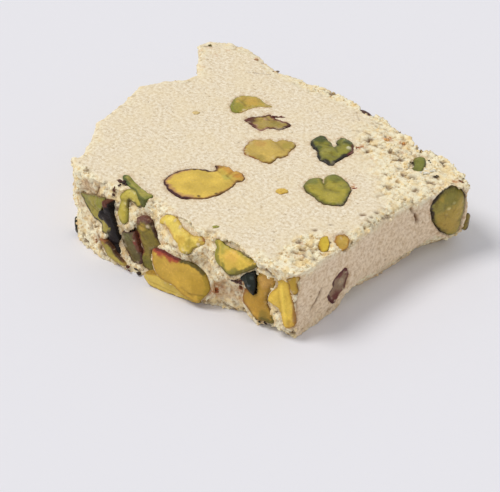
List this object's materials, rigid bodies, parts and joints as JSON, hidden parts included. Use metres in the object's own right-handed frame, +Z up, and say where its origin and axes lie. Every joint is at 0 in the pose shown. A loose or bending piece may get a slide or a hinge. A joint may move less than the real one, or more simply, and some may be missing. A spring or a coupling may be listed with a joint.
{
  "type": "halva",
  "caption": "Broken flat slab of pale sesame halva with sliced and whole pistachio kernels set in its top and broken sides.",
  "frame": {"origin": "centre of the bounding box at the level of the flat base", "axes": "+Z up, out of the flat top; +X along the slab's length, out of the side that was cut with a knife; the broken side that shows most kernels faces -Y"},
  "size_m": [0.0859, 0.0685, 0.0185],
  "materials": {
    "halva": "matte, fine grained and fibrous, crumbly where broken",
    "pistachio_yellow": "cut kernel, satin with a slightly oily sheen",
    "pistachio_green": "kernel, satin to moist, with a thin darker skin at its edge",
    "pistachio_olive": "kernel dusted with sesame paste",
    "pistachio_skin": "thin wrinkled purple-brown skin of a kernel"
  },
  "bodies": {
    "root": {"halva_slab": "halva", "kernel_top_slice": "pistachio_yellow", "kernel_top_wedge": "pistachio_green", "kernel_top_skin": "pistachio_skin", "kernel_top_tan": "pistachio_yellow", "kernel_top_torn": "pistachio_green", "kernel_top_heart": "pistachio_green", "kernel_top_small": "pistachio_green", "kernel_top_strip": "pistachio_green", "kernel_cut_large": "pistachio_green", "kernel_cut_corner": "pistachio_green", "kernel_cut_skin": "pistachio_skin", "kernel_rim_small": "pistachio_yellow", "kernel_rim_tan": "pistachio_yellow", "kernel_front_leaf": "pistachio_green", "kernel_front_dark": "pistachio_skin", "kernel_front_pale": "pistachio_green", "kernel_front_olive": "pistachio_olive", "kernel_front_dull": "pistachio_olive", "kernel_front_large": "pistachio_yellow", "kernel_front_under": "pistachio_yellow", "kernel_front_rim": "pistachio_yellow", "kernel_front_half": "pistachio_yellow", "kernel_front_teal": "pistachio_skin", "kernel_front_amber": "pistachio_yellow", "kernel_front_long": "pistachio_yellow", "kernel_front_corner": "pistachio_yellow", "kernel_front_sliver": "pistachio_olive", "kernel_left_dark": "pistachio_green", "kernel_left_low": "pistachio_yellow", "kernel_left_olive": "pistachio_olive", "kernel_left_tall": "pistachio_green", "kernel_left_small": "pistachio_yellow", "kernel_left_tongue": "pistachio_green", "kernel_back_rim": "pistachio_skin", "kernel_back_tongue": "pistachio_skin", "kernel_back_far": "pistachio_yellow", "kernel_back_olive": "pistachio_olive", "kernel_back_tall": "pistachio_green", "kernel_back_large": "pistachio_yellow", "kernel_back_near": "pistachio_green", "kernel_back_corner": "pistachio_yellow", "kernel_base_long": "pistachio_yellow", "kernel_base_split": "pistachio_green", "kernel_base_small": "pistachio_yellow"}
  },
  "joints": []
}
